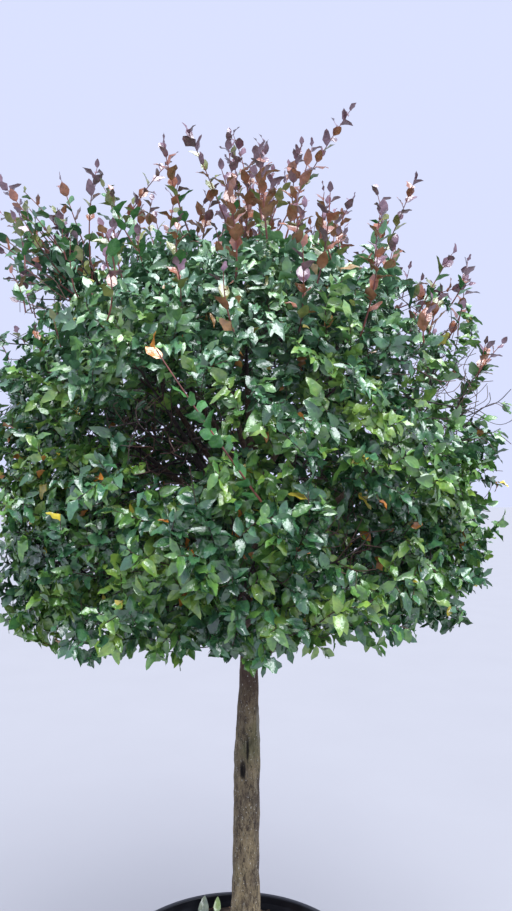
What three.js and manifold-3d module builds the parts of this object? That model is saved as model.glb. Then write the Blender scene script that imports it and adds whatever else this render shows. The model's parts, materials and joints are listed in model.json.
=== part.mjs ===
// A sasanqua camellia grown as a standard in a nursery pot: one clear stem and a dense round head
// of small leaves, with long young shoots standing out of its top.
// Millimetres, +Z up. The origin is the middle of the pot's underside, and the front faces -Y.
import * as THREE from "three";
import { mergeVertices } from "three/addons/utils/BufferGeometryUtils.js";
import Module from "manifold-3d";

const wasm = await Module();
wasm.setup();

// Sizes that drive the rest
const CLEARANCE = 0.3;

const POT_HEIGHT = 450;
const POT_RIM_RADIUS = 400;
const POT_FOOT_RADIUS = 320;
const POT_WALL = 4;
const POT_FOOT_CHAMFER = 8;
const LIP_WIDTH = 12;
const LIP_DEPTH = 24;
const LIP_ROUND = 4;
const POT_SEGMENTS = 32;
const DRAIN_SLOTS = 8;
const DRAIN_SLOT = { width: 44, height: 12, above: 14 };
const HEADSPACE = 50;
const SOIL_FALL = 8;
const SOIL_FLAT_RADIUS = 115;

const TRUNK_OFFSET = 30;
const TRUNK_HEIGHT = 1120;
const TRUNK_LEAN = 14;
const TRUNK_SIDES = 14;
const TRUNK_RINGS = 20;
// Height above the soil and radius: the stem thins upwards and swells round an old wound.
const TRUNK_GIRTH = [
  [0, 50],
  [120, 45],
  [220, 41.8],
  [334, 38.1],
  [560, 36.5],
  [640, 38.5],
  [694, 35.3],
  [807, 29.5],
  [889, 26.3],
  [TRUNK_HEIGHT, 22],
];
const FLARE = { rise: 16, fade: 42, toes: 5, share: 0.35 };

const LEADER_TIP = [4, 12, 1740];
const LEADER_GIRTH = [20, 9];

// The head is domed above this middle and flatter, with fuller shoulders, below. It is bare inside.
const CROWN_MIDDLE = new THREE.Vector3(18, 0, 1570);
const CROWN_RADIUS = 750;
const CROWN_DOME = { height: 620, fullness: 2 };
const CROWN_SKIRT = { height: 575, fullness: 6 };
const CROWN_INSIDE = 0.44;

// Each tier of foliage is a ring of masses round the trunk's axis, each on a bough of its own.
const TIERS = [
  {
    tier: "lower",
    ring: { count: 6, radius: 485, height: 1245, turn: 30 },
    bough: { foot: 900, step: 30, climb: 32, girth: [15, 9] },
  },
  {
    tier: "middle",
    ring: { count: 6, radius: 520, height: 1640, turn: 0 },
    bough: { foot: 1150, step: 28, climb: 52, girth: [13, 8] },
  },
  {
    tier: "upper",
    ring: { count: 4, radius: 320, height: 1885, turn: 28 },
    bough: { foot: 1390, step: 34, climb: 58, girth: [10, 7] },
  },
];
const CREST_HEART = new THREE.Vector3(18, 0, 2010);
// The loose spray at the upper left has no core, and swells out of the dome by this share.
const SPRAY = {
  heart: new THREE.Vector3(-450, -60, 2000),
  foot: 1340,
  climb: 50,
  girth: [9, 6],
  swell: 1.2,
};
// How far a bough runs towards its heart, and how stiffly it leaves its foot and meets its tip.
const BOUGH_SHARE = 0.55;
const BOUGH_LEAVING = 0.35;
const BOUGH_ARRIVING = 0.3;
const BOUGH_SIDES = 6;
const BOUGH_RINGS = 5;
const HEART_SHIFT = { turn: 8, radius: 30, height: 35 };
const BULGE = { least: 0.95, spread: 0.1 };

// Deep hollows in the front of the head, each a ball that nothing grows into.
const HOLLOWS = [
  { at: new THREE.Vector3(-105, -665, 1530), radius: 130 },
  { at: new THREE.Vector3(270, -650, 1290), radius: 95 },
];

// Tips of the young shoots that stand highest and furthest out of the head.
const SHOOT_TIPS = [
  [-161, -200, 2404],
  [-44, -150, 2418],
  [305, -100, 2520],
  [-220, -200, 2300],
  [162, -50, 2428],
  [491, -100, 2311],
  [622, -150, 1983],
  [-753, 0, 2362],
  [-552, -50, 2229],
  [-432, -100, 2347],
  [-90, 260, 2390],
  [250, 300, 2330],
  [-380, 330, 2200],
  [-140, 650, 2040],
];

// A core spreads along the head's skin and is thinner through it.
const CORE = { through: 0.36, along: 0.68, room: 118, margin: 12 };
// A stem runs on past its mass's heart by this share of the room that is left there.
const STEM = { beyond: 0.45, tip: 5, sides: 5, rings: 4 };
// Twigs fan out from the last part of the stem, forward and to the sides, and turn up a little.
// Each stops short of the space's edge by the room that its end leaf needs.
const TWIG = { count: 13, room: 106, foot: 6, tip: 3.5, rise: 0.12, back: -0.3, from: 0.55, spread: 0.4 };
const SHOOT = { foot: 6.5, tip: 3, bow: 26, from: 0.8, lap: 0.02 };
// Leaves start at a share of the twig and are wider than life, to fill the head with few of them.
const LEAF = {
  length: 124,
  spread: 14,
  width: 0.54,
  thickness: 0.024,
  broadest: 0.42,
  pitch: 57,
  start: 0.55,
  sunk: 3,
  splay: 0.95,
  endSplay: 0.12,
  lift: 0.7,
  liftSpread: 0.6,
};
const SHOOT_LEAF = { length: 88, pitch: 74, start: 0.1 };
const LEAF_MARGIN = 4;
const REACH_STEP = 8;
const TRUNK_BALLS = 60;
const LIMB_BALLS = 24;

const UP = new THREE.Vector3(0, 0, 1);
const GOLDEN_TURN = Math.PI * (3 - Math.sqrt(5));
const SOIL_TOP = POT_HEIGHT - HEADSPACE;

// Seeded random numbers from 0 to 1, the same on every run.
function seeded(seed) {
  let state = seed >>> 0;
  return () => {
    state = (Math.imul(state, 1664525) + 1013904223) >>> 0;
    return state / 2 ** 32;
  };
}

// A closed three.js shape as a solid that can be joined and cut.
function solidOf(geometry) {
  const bare = geometry.clone();
  bare.deleteAttribute("normal");
  bare.deleteAttribute("uv");
  const merged = mergeVertices(bare, 1e-4);
  return new wasm.Manifold(
    new wasm.Mesh({
      numProp: 3,
      vertProperties: new Float32Array(merged.attributes.position.array),
      triVerts: new Uint32Array(merged.index.array),
    }),
  );
}

// The largest body of a solid: loose scraps go, and a sealed hollow is filled.
function largestBody(solid) {
  const bodies = solid.decompose();
  return bodies.reduce((best, body) => (body.volume() > best.volume() ? body : best));
}

// A named mesh of a solid, with flat faces.
function meshOf(name, solid, material) {
  const made = solid.getMesh();
  const geometry = new THREE.BufferGeometry();
  geometry.setAttribute("position", new THREE.BufferAttribute(made.vertProperties, 3));
  geometry.setIndex(new THREE.BufferAttribute(made.triVerts, 1));
  const mesh = new THREE.Mesh(geometry, material);
  mesh.name = name;
  return mesh;
}

function finish(color, roughness) {
  return new THREE.MeshStandardMaterial({ color, roughness, metalness: 0, flatShading: true });
}

const PLASTIC = finish(0x17191c, 0.45);
const COMPOST = finish(0x3a2e25, 0.95);
const BARK = finish(0x6b6355, 0.85);
const GREEN_LEAVES = finish(0x2f5a2b, 0.35);
const YOUNG_LEAVES = finish(0x5b5a33, 0.35);

// The pot: a turned shell with a flat underside, a tapering wall, a rolled lip and drain slots.
function pot() {
  const wallTop = POT_RIM_RADIUS - LIP_WIDTH;
  const profile = [
    [0, 0],
    [POT_FOOT_RADIUS - POT_FOOT_CHAMFER, 0],
    [POT_FOOT_RADIUS, POT_FOOT_CHAMFER],
    [wallTop, POT_HEIGHT - LIP_DEPTH],
    [POT_RIM_RADIUS, POT_HEIGHT - LIP_DEPTH],
    [POT_RIM_RADIUS, POT_HEIGHT - LIP_ROUND],
    [POT_RIM_RADIUS - LIP_ROUND, POT_HEIGHT],
    [wallTop - POT_WALL + LIP_ROUND, POT_HEIGHT],
    [wallTop - POT_WALL, POT_HEIGHT - LIP_ROUND],
    [POT_FOOT_RADIUS - POT_WALL, POT_FOOT_CHAMFER],
    [POT_FOOT_RADIUS - POT_WALL - POT_FOOT_CHAMFER, POT_WALL],
    [0, POT_WALL],
  ];
  let shell = turned(profile);
  for (let slot = 0; slot < DRAIN_SLOTS; slot += 1) {
    const { width, height, above } = DRAIN_SLOT;
    const cutter = new THREE.BoxGeometry(4 * POT_WALL + POT_FOOT_CHAMFER, width, height);
    cutter.translate(POT_FOOT_RADIUS, 0, above + height / 2);
    cutter.rotateZ(((slot + 0.5) * 2 * Math.PI) / DRAIN_SLOTS);
    shell = shell.subtract(solidOf(cutter));
  }
  return meshOf("pot", shell, PLASTIC);
}

// A profile of [radius, height] points turned round the Z axis.
function turned(profile) {
  const points = profile.map(([radius, height]) => new THREE.Vector2(radius, height));
  const geometry = new THREE.LatheGeometry(points, POT_SEGMENTS);
  return solidOf(geometry.rotateX(Math.PI / 2));
}

// The pot's fill of bark compost, level round the trunk and a little lower at the wall.
function soil() {
  const innerFoot = POT_FOOT_RADIUS - POT_WALL - CLEARANCE;
  const innerTop = POT_RIM_RADIUS - LIP_WIDTH - POT_WALL - CLEARANCE;
  const wallRise = POT_HEIGHT - LIP_ROUND - POT_FOOT_CHAMFER;
  const edge = SOIL_TOP - SOIL_FALL;
  const edgeRadius = innerFoot + ((innerTop - innerFoot) * (edge - POT_FOOT_CHAMFER)) / wallRise;
  return meshOf(
    "soil",
    turned([
      [0, POT_WALL + CLEARANCE],
      [innerFoot - POT_FOOT_CHAMFER, POT_WALL + CLEARANCE],
      [innerFoot, POT_FOOT_CHAMFER + CLEARANCE],
      [edgeRadius, edge],
      [SOIL_FLAT_RADIUS, SOIL_TOP],
      [0, SOIL_TOP],
    ]),
    COMPOST,
  );
}

// A tapering limb: the rings of a cylinder moved on to a curve, each as wide as radiusAt says.
function limb(curve, radiusAt, sides, rings) {
  const geometry = new THREE.CylinderGeometry(1, 1, 1, sides, rings);
  const frames = curve.computeFrenetFrames(rings);
  const place = geometry.attributes.position;
  for (let i = 0; i < place.count; i += 1) {
    const along = place.getY(i) + 0.5;
    const ring = Math.round(along * rings);
    const radius = radiusAt(along, Math.atan2(place.getZ(i), place.getX(i)));
    const point = curve
      .getPointAt(along)
      .addScaledVector(frames.normals[ring], place.getX(i) * radius)
      .addScaledVector(frames.binormals[ring], -place.getZ(i) * radius);
    place.setXYZ(i, point.x, point.y, point.z);
  }
  return solidOf(geometry);
}

function between(share, [from, to]) {
  return from + (to - from) * share;
}

// The trunk's radius at a share of its height, with toes that spread just above the soil.
function trunkRadius(share, angle) {
  const height = share * TRUNK_HEIGHT;
  const above = Math.max(
    1,
    TRUNK_GIRTH.findIndex(([station]) => station >= height),
  );
  const [low, high] = [TRUNK_GIRTH[above - 1], TRUNK_GIRTH[above]];
  const stem = low[1] + ((high[1] - low[1]) * (height - low[0])) / (high[0] - low[0]);
  const toes = 1 - FLARE.share + FLARE.share * Math.cos(FLARE.toes * angle);
  return stem + FLARE.rise * Math.exp(-height / FLARE.fade) * toes;
}

const trunkCurve = new THREE.QuadraticBezierCurve3(
  new THREE.Vector3(0, 0, 0),
  new THREE.Vector3(0, 0, TRUNK_HEIGHT / 2),
  new THREE.Vector3(TRUNK_LEAN, 0, TRUNK_HEIGHT),
);
const leaderCurve = new THREE.QuadraticBezierCurve3(
  new THREE.Vector3(TRUNK_LEAN, 0, TRUNK_HEIGHT + CLEARANCE),
  new THREE.Vector3(TRUNK_LEAN * 1.6, 0, (TRUNK_HEIGHT + LEADER_TIP[2]) / 2),
  new THREE.Vector3(...LEADER_TIP),
);

// A point on the axis of the trunk, or of the leader above it.
function axisPoint(height) {
  if (height <= TRUNK_HEIGHT) return trunkCurve.getPoint(height / TRUNK_HEIGHT);
  return leaderCurve.getPoint((height - TRUNK_HEIGHT) / (LEADER_TIP[2] - TRUNK_HEIGHT));
}

// A bough leaves the axis at a climbing angle and ends part of the way to its mass's heart.
function boughCurve(footHeight, climb, heart) {
  const foot = axisPoint(footHeight);
  const tip = foot.clone().lerp(heart, BOUGH_SHARE);
  const span = tip.distanceTo(foot);
  const outward = heart.clone().sub(foot).setZ(0).normalize();
  const rise = THREE.MathUtils.degToRad(climb);
  const leaving = outward.multiplyScalar(Math.cos(rise)).addScaledVector(UP, Math.sin(rise));
  const arriving = heart.clone().sub(tip).normalize();
  return new THREE.CubicBezierCurve3(
    foot,
    foot.clone().addScaledVector(leaving, span * BOUGH_LEAVING),
    tip.clone().addScaledVector(arriving, -span * BOUGH_ARRIVING),
    tip,
  );
}

// The masses: each has a heart that its stem grows to, and the limb that carries it.
function massPlan() {
  const plan = [];
  const random = seeded(11);
  for (const { tier, ring, bough } of TIERS) {
    for (let i = 0; i < ring.count; i += 1) {
      const shifts = [random(), random(), random()].map((value) => value * 2 - 1);
      const azimuth = (i * 360) / ring.count + ring.turn + shifts[0] * HEART_SHIFT.turn;
      const angle = THREE.MathUtils.degToRad(azimuth);
      const distance = ring.radius + shifts[1] * HEART_SHIFT.radius;
      const heart = new THREE.Vector3(
        CROWN_MIDDLE.x + distance * Math.cos(angle),
        CROWN_MIDDLE.y + distance * Math.sin(angle),
        ring.height + shifts[2] * HEART_SHIFT.height,
      );
      const level = (i % 2) * Math.ceil(ring.count / 2) + Math.floor(i / 2);
      const curve = boughCurve(bough.foot + level * bough.step, bough.climb, heart);
      plan.push({ name: `${tier}_${i + 1}`, heart, curve, girth: bough.girth });
    }
  }
  const { heart, foot, climb, girth, swell } = SPRAY;
  plan.push({ name: "left_spray", heart, curve: boughCurve(foot, climb, heart), girth, swell });
  plan.push({ name: "crest", heart: CREST_HEART, curve: leaderCurve, girth: LEADER_GIRTH });
  for (const mass of plan) mass.bulge = (mass.swell ?? 1) * (BULGE.least + BULGE.spread * random());
  return plan;
}

const masses = massPlan();

// Balls along every limb, which the foliage keeps clear of.
const limbBalls = [];
for (let i = 0; i <= TRUNK_BALLS; i += 1) {
  const share = i / TRUNK_BALLS;
  limbBalls.push({ at: trunkCurve.getPoint(share), radius: trunkRadius(share, 0) });
}
for (const { curve, girth } of masses) {
  for (let i = 0; i <= LIMB_BALLS; i += 1) {
    limbBalls.push({ at: curve.getPoint(i / LIMB_BALLS), radius: between(i / LIMB_BALLS, girth) });
  }
}

// How far out in the head a point lies: 0 at the middle, 1 at the outline.
function crownShare(point) {
  const from = point.clone().sub(CROWN_MIDDLE);
  const { height, fullness } = from.z > 0 ? CROWN_DOME : CROWN_SKIRT;
  const outwards = Math.hypot(from.x, from.y) / CROWN_RADIUS;
  return (outwards ** fullness + (Math.abs(from.z) / height) ** fullness) ** (1 / fullness);
}

// Whether a point is nearer to this mass's heart than to any other's, by a margin.
function inOwnCell(point, mass, margin) {
  return masses.every((other) => {
    if (other === mass) return true;
    const apart = other.heart.distanceTo(mass.heart);
    const lead = point.distanceToSquared(other.heart) - point.distanceToSquared(mass.heart);
    return lead / (2 * apart) > margin;
  });
}

function clearOf(balls, point, margin) {
  return balls.every(({ at, radius }) => point.distanceTo(at) > radius + margin);
}

// Whether a mass may grow at a point: inside the head's shell, its own cell and clear of limbs.
function free(point, mass, margin, limit = mass.bulge) {
  const share = crownShare(point);
  return (
    share > CROWN_INSIDE &&
    share < limit &&
    inOwnCell(point, mass, margin) &&
    clearOf(limbBalls, point, margin) &&
    clearOf(HOLLOWS, point, margin)
  );
}

// How far a straight line can run from a mass's heart before it leaves the mass's space.
function reach(mass, direction, margin) {
  const point = mass.heart.clone();
  let run = 0;
  while (run < 2 * CROWN_RADIUS) {
    point.addScaledVector(direction, REACH_STEP);
    if (!free(point, mass, margin)) return run;
    run += REACH_STEP;
  }
  return run;
}

// The dense inside of a mass: a rough ball drawn in wherever the space is narrow.
function coreOf(mass, outward) {
  const geometry = new THREE.IcosahedronGeometry(1, 1);
  const place = geometry.attributes.position;
  for (let i = 0; i < place.count; i += 1) {
    const direction = new THREE.Vector3().fromBufferAttribute(place, i).normalize();
    const share = between(direction.dot(outward) ** 2, [CORE.along, CORE.through]);
    const open = reach(mass, direction, CORE.margin);
    const radius = Math.max(open * CORE.through, Math.min(open * share, open - CORE.room));
    const point = mass.heart.clone().addScaledVector(direction, radius);
    place.setXYZ(i, point.x, point.y, point.z);
  }
  return solidOf(geometry);
}

// A three-sided twig from a point to a point.
function twigBetween(from, to, footRadius, tipRadius) {
  const length = from.distanceTo(to);
  const geometry = new THREE.CylinderGeometry(tipRadius, footRadius, length, 3, 1);
  const turn = new THREE.Quaternion().setFromUnitVectors(
    new THREE.Vector3(0, 1, 0),
    to.clone().sub(from).normalize(),
  );
  geometry.applyQuaternion(turn);
  geometry.translate((from.x + to.x) / 2, (from.y + to.y) / 2, (from.z + to.z) / 2);
  return solidOf(geometry);
}

// One leaf of eight faces, broadest nearer its root, which is sunk in its twig.
function leafShape(root, along, facing, length) {
  const geometry = new THREE.OctahedronGeometry(1);
  const place = geometry.attributes.position;
  for (let i = 0; i < place.count; i += 1) {
    const end = Math.abs(place.getY(i)) > 0.5;
    const forward = end ? place.getY(i) * 0.5 + 0.5 : LEAF.broadest;
    place.setXYZ(
      i,
      (place.getX(i) * length * LEAF.width) / 2,
      forward * length,
      (place.getZ(i) * length * LEAF.thickness) / 2,
    );
  }
  const side = new THREE.Vector3().crossVectors(along, facing).normalize();
  const face = new THREE.Vector3().crossVectors(side, along).normalize();
  const basis = new THREE.Matrix4().makeBasis(side, along, face).setPosition(root);
  return geometry.applyMatrix4(basis);
}

// Leaves set alternately along a twig, each one kept only where it stays in the mass's space.
function leavesOn(mass, from, to, size, random, limit) {
  const leaves = [];
  const along = to.clone().sub(from).normalize();
  const outward = to.clone().sub(CROWN_MIDDLE).normalize();
  const length = from.distanceTo(to);
  const sideways = new THREE.Vector3().crossVectors(along, UP).normalize();
  const across = new THREE.Vector3().crossVectors(along, sideways).normalize();
  let turn = random() * 2 * Math.PI;
  for (let run = length; run > length * size.start; run -= size.pitch) {
    const splay = run === length ? LEAF.endSplay : LEAF.splay;
    const reaching = along
      .clone()
      .addScaledVector(sideways, splay * Math.cos(turn))
      .addScaledVector(across, splay * Math.sin(turn))
      .normalize();
    turn += GOLDEN_TURN;
    const facing = outward.clone().addScaledVector(UP, LEAF.lift + LEAF.liftSpread * random()).normalize();
    const leafLength = size.length + LEAF.spread * (random() * 2 - 1);
    const root = from.clone().addScaledVector(along, run).addScaledVector(reaching, -LEAF.sunk);
    const shape = leafShape(root, reaching, facing, leafLength);
    const corners = shape.attributes.position;
    let fits = true;
    for (let i = 0; i < corners.count; i += 1) {
      const corner = new THREE.Vector3().fromBufferAttribute(corners, i);
      if (corner.distanceTo(root) > 1 && !free(corner, mass, LEAF_MARGIN, limit)) fits = false;
    }
    if (fits) leaves.push(solidOf(shape));
  }
  return leaves;
}

// Whether a straight twig keeps to the mass's space from its middle to its tip.
function twigFits(mass, from, to, limit) {
  return [0.5, 0.65, 0.8, 0.9, 1].every((share) =>
    free(from.clone().lerp(to, share), mass, TWIG.foot + LEAF_MARGIN, limit),
  );
}

// A mass: one stem that goes on from its limb, twigs that fan out of it, leaves and a core.
function foliage(mass, seed) {
  const random = seeded(seed);
  const limbTip = mass.curve.getPoint(1);
  const heading = mass.curve.getTangent(1).normalize();
  const foot = limbTip.clone().addScaledVector(heading, CLEARANCE);
  const outward = mass.heart.clone().sub(CROWN_MIDDLE).normalize();
  const stemTip = mass.heart
    .clone()
    .addScaledVector(outward, STEM.beyond * reach(mass, outward, LEAF_MARGIN));
  const bend = foot.clone().addScaledVector(heading, foot.distanceTo(stemTip) * 0.5);
  const stem = new THREE.QuadraticBezierCurve3(foot, bend, stemTip);
  const pieces = [limb(stem, (share) => between(share, [mass.girth[1], STEM.tip]), STEM.sides, STEM.rings)];
  if (!mass.swell) pieces.push(coreOf(mass, outward));
  const sideways = new THREE.Vector3().crossVectors(outward, UP).normalize();
  const across = new THREE.Vector3().crossVectors(outward, sideways).normalize();
  for (let i = 0; i < TWIG.count; i += 1) {
    const facing = 1 - ((1 - TWIG.back) * (i + 0.5)) / TWIG.count;
    const spread = Math.sqrt(1 - facing * facing);
    const turn = i * GOLDEN_TURN + random();
    const direction = outward
      .clone()
      .multiplyScalar(facing)
      .addScaledVector(sideways, spread * Math.cos(turn))
      .addScaledVector(across, spread * Math.sin(turn))
      .addScaledVector(UP, TWIG.rise)
      .normalize();
    const from = stem.getPoint(TWIG.from + TWIG.spread * random());
    const to = mass.heart
      .clone()
      .addScaledVector(direction, reach(mass, direction, LEAF_MARGIN) - TWIG.room);
    if (from.distanceTo(to) < LEAF.length || !twigFits(mass, from, to, mass.bulge)) continue;
    pieces.push(twigBetween(from, to, TWIG.foot, TWIG.tip));
    pieces.push(...leavesOn(mass, from, to, LEAF, random, mass.bulge));
  }
  for (const tip of SHOOT_TIPS.map((place) => new THREE.Vector3(...place))) {
    if (!inOwnCell(tip, mass, 0)) continue;
    const from = stem.getPoint(SHOOT.from);
    const middle = from.clone().lerp(tip, 0.5).addScaledVector(outward, SHOOT.bow);
    const neck = (SHOOT.foot + SHOOT.tip) / 2;
    const size = { ...LEAF, ...SHOOT_LEAF };
    pieces.push(twigBetween(from, middle, SHOOT.foot, neck));
    pieces.push(twigBetween(middle.clone().lerp(from, SHOOT.lap), tip, neck, SHOOT.tip));
    pieces.push(...leavesOn(mass, middle, tip, size, random, Infinity));
  }
  return largestBody(wasm.Manifold.union(pieces));
}

// The trunk and the leader, and the same two grown by the clearance, which seat the boughs.
const trunk = limb(trunkCurve, trunkRadius, TRUNK_SIDES, TRUNK_RINGS);
const grownTrunk = limb(
  trunkCurve,
  (share, angle) => trunkRadius(share, angle) + CLEARANCE,
  TRUNK_SIDES,
  TRUNK_RINGS,
);
const leader = limb(leaderCurve, (share) => between(share, LEADER_GIRTH), BOUGH_SIDES + 1, BOUGH_RINGS);
const grownLeader = limb(
  leaderCurve,
  (share) => between(share, LEADER_GIRTH) + CLEARANCE,
  BOUGH_SIDES + 1,
  BOUGH_RINGS,
);

function boughSolid(mass) {
  const whole = limb(mass.curve, (share) => between(share, mass.girth), BOUGH_SIDES, BOUGH_RINGS);
  return largestBody(whole.subtract(grownTrunk).subtract(grownLeader));
}

const container = new THREE.Group();
container.add(pot(), soil());

// The tree's own frame has its origin where the trunk's flat foot stands on the soil.
const tree = new THREE.Group();
tree.position.set(TRUNK_OFFSET, 0, SOIL_TOP + CLEARANCE);
tree.add(meshOf("trunk", trunk, BARK));
tree.add(meshOf("leader", leader, BARK));
masses.forEach((mass, index) => {
  if (mass.curve !== leaderCurve) tree.add(meshOf(`bough_${mass.name}`, boughSolid(mass), BARK));
  const young = mass.heart.z > CROWN_MIDDLE.z + CROWN_DOME.height / 2;
  tree.add(meshOf(`foliage_${mass.name}`, foliage(mass, 100 + index), young ? YOUNG_LEAVES : GREEN_LEAVES));
});

const camellia = new THREE.Group();
camellia.add(container, tree);

export default camellia;
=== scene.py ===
import json
import math

import bpy
import numpy as np
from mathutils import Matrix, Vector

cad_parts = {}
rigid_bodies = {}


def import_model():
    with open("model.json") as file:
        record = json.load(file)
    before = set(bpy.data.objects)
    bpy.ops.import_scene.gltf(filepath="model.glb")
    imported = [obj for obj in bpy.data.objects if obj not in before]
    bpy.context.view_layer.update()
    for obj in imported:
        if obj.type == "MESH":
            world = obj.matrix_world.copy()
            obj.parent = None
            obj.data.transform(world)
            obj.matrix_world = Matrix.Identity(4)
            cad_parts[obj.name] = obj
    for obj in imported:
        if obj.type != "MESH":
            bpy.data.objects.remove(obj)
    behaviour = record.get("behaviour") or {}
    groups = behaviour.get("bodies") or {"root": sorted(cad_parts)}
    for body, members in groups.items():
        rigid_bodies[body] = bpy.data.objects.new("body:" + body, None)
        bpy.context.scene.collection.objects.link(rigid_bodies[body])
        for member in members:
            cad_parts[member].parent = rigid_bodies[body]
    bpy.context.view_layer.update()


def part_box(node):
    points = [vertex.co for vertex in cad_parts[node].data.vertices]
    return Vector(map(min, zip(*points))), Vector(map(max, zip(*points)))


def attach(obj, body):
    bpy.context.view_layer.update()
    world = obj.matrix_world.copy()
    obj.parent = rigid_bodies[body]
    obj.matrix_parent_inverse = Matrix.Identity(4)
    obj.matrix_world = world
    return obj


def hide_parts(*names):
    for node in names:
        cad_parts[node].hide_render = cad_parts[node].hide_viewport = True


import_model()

# The camera: a phone's main lens at eye height, 1.95 m in front of the trunk and tilted up a
# little. It comes first because everything else is judged through it.
camera_data = bpy.data.cameras.new("camera")
camera_data.lens = 26
camera_data.sensor_width = 36
camera = bpy.data.objects.new("camera", camera_data)
camera.location = (0.06, -1.95, 1.78)
camera.rotation_euler = (math.radians(90 + 4), 0, 0)
bpy.context.scene.collection.objects.link(camera)
bpy.context.scene.camera = camera


# The studio: a plain pale floor under a soft, even light. A very broad light from above the
# camera takes the place of an overcast sky, and the pale surroundings fill in the rest.
class Wire:
    """A socket that sums can be written on: each operator adds the Math node that works it out."""

    def __init__(self, graph, socket):
        self.graph = graph
        self.socket = socket

    def maths(self, operation, first, second):
        return self.graph.node("ShaderNodeMath", {0: first, 1: second}, operation=operation)

    def __add__(self, other):
        return self.maths("ADD", self, other)

    def __sub__(self, other):
        return self.maths("SUBTRACT", self, other)

    def __rsub__(self, other):
        return self.maths("SUBTRACT", other, self)

    def __mul__(self, other):
        return self.maths("MULTIPLY", self, other)

    __radd__ = __add__
    __rmul__ = __mul__


class Graph:
    """A tree of nodes as it is wired up."""

    def __init__(self, tree):
        self.tree = tree

    def node(self, kind, sockets=None, out=0, **settings):
        """Adds any node: its settings are set first, then its sockets get values or links."""
        made = self.tree.nodes.new(kind)
        for name, value in settings.items():
            setattr(made, name, value)
        for name, value in (sockets or {}).items():
            if isinstance(value, Wire):
                self.tree.links.new(value.socket, made.inputs[name])
            else:
                made.inputs[name].default_value = value
        return Wire(self, made.outputs[out]) if len(made.outputs) else made


def shade(text):
    """A colour written as it looks on a screen, such as "3c7832", as the light values nodes take."""
    levels = [int(text[i : i + 2], 16) / 255 for i in (0, 2, 4)]
    return tuple(level**2.2 for level in levels) + (1,)


class Finish(Graph):
    """One material, built up from the place on the object that each point has."""

    def __init__(self, name):
        self.material = bpy.data.materials.new(name)
        self.material.use_nodes = True
        super().__init__(self.material.node_tree)
        self.tree.nodes.clear()
        self.place = self.node("ShaderNodeTexCoord", out="Object")

    def noise(self, scale, detail=3, stretch=(1, 1, 1), roughness=0.5):
        place = self.node("ShaderNodeMapping", {"Vector": self.place, "Scale": stretch})
        sockets = {"Vector": place, "Scale": scale, "Detail": detail, "Roughness": roughness}
        return self.node("ShaderNodeTexNoise", sockets)

    def ramp(self, share, *stops):
        """Runs through colours, each given with the share at which it is reached."""
        colours = self.node("ShaderNodeValToRGB", {"Fac": share})
        elements = colours.socket.node.color_ramp.elements
        while len(elements) < len(stops):
            elements.new(1)
        for element, (position, colour) in zip(elements, stops):
            element.position = position
            element.color = shade(colour)
        return colours

    def step(self, share, low, high):
        """0 below low and 1 above high, smooth between."""
        sockets = {"Value": share, "From Min": low, "From Max": high}
        return self.node("ShaderNodeMapRange", sockets, interpolation_type="SMOOTHSTEP")

    def height(self):
        """How high above the ground each point is."""
        return self.node("ShaderNodeSeparateXYZ", {"Vector": self.place}, out=2)

    def near(self, point, size):
        """1 round a place, and 0 beyond a size away from it along each axis."""
        offset = self.node("ShaderNodeVectorMath", {0: self.place, 1: point}, operation="SUBTRACT")
        shares = self.node("ShaderNodeVectorMath", {0: offset, 1: size}, operation="DIVIDE")
        away = self.node("ShaderNodeVectorMath", {0: shares}, out=1, operation="LENGTH")
        return 1 - self.step(away, 0.5, 1)

    def blend(self, share, first, second):
        return self.node("ShaderNodeMix", {0: share, 6: first, 7: second}, out=2, data_type="RGBA")

    def bump(self, height, distance):
        return self.node("ShaderNodeBump", {"Height": height, "Distance": distance})

    def surface(self, **sockets):
        named = {name.replace("_", " "): value for name, value in sockets.items()}
        shader = self.node("ShaderNodeBsdfPrincipled", named)
        self.node("ShaderNodeOutputMaterial", {"Surface": shader})
        return self.material


def mesh_object(name, places, faces, edges=()):
    mesh = bpy.data.meshes.new(name)
    mesh.from_pydata(places, edges, faces)
    mesh.update()
    made = bpy.data.objects.new(name, mesh)
    bpy.context.scene.collection.objects.link(made)
    return made


FLOOR_HALF = 200
corners = [(x * FLOOR_HALF, y * FLOOR_HALF, 0) for x, y in ((-1, -1), (1, -1), (1, 1), (-1, 1))]
floor = mesh_object("floor", corners, [(0, 1, 2, 3)])
paper = Finish("pale_floor")
paper_colour = paper.blend(paper.noise(1.5), shade("909094"), shade("949498"))
floor.data.materials.append(paper.surface(Base_Color=paper_colour, Roughness=0.85))

world = bpy.data.worlds.new("surroundings")
world.use_nodes = True
backdrop = world.node_tree.nodes["Background"]
backdrop.inputs["Color"].default_value = shade("cfd6f4")
backdrop.inputs["Strength"].default_value = 1.12
bpy.context.scene.world = world

overhead_data = bpy.data.lights.new("overhead", "SUN")
overhead_data.energy = 5.9
overhead_data.angle = math.radians(58)
overhead_data.color = (0.92, 0.95, 1.0)
overhead = bpy.data.objects.new("overhead", overhead_data)
overhead.rotation_euler = (math.radians(20), math.radians(12), 0)
bpy.context.scene.collection.objects.link(overhead)
bpy.context.scene.view_settings.view_transform = "Standard"


# The pot: a round nursery pot blown from black plastic, with a flat underside, a tapering wall,
# a rolled lip and drain slots just above its foot.
POT_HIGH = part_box("pot")[1]
POT_HEIGHT = POT_HIGH.z
POT_RIM_RADIUS = POT_HIGH.x
POT_FOOT_RADIUS = 0.320
POT_WALL = 0.004
POT_FOOT_CHAMFER = 0.008
LIP_WIDTH = 0.012
LIP_DEPTH = 0.024
LIP_ROUND = 0.004
LIP_EDGE = 0.002
POT_SIDES = 128
OUTER_RINGS, INNER_RINGS = 24, 12
DRAIN_SLOTS = 8
DRAIN_SLOT = (0.044, 0.012)
DRAIN_SLOT_ABOVE = 0.014


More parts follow.
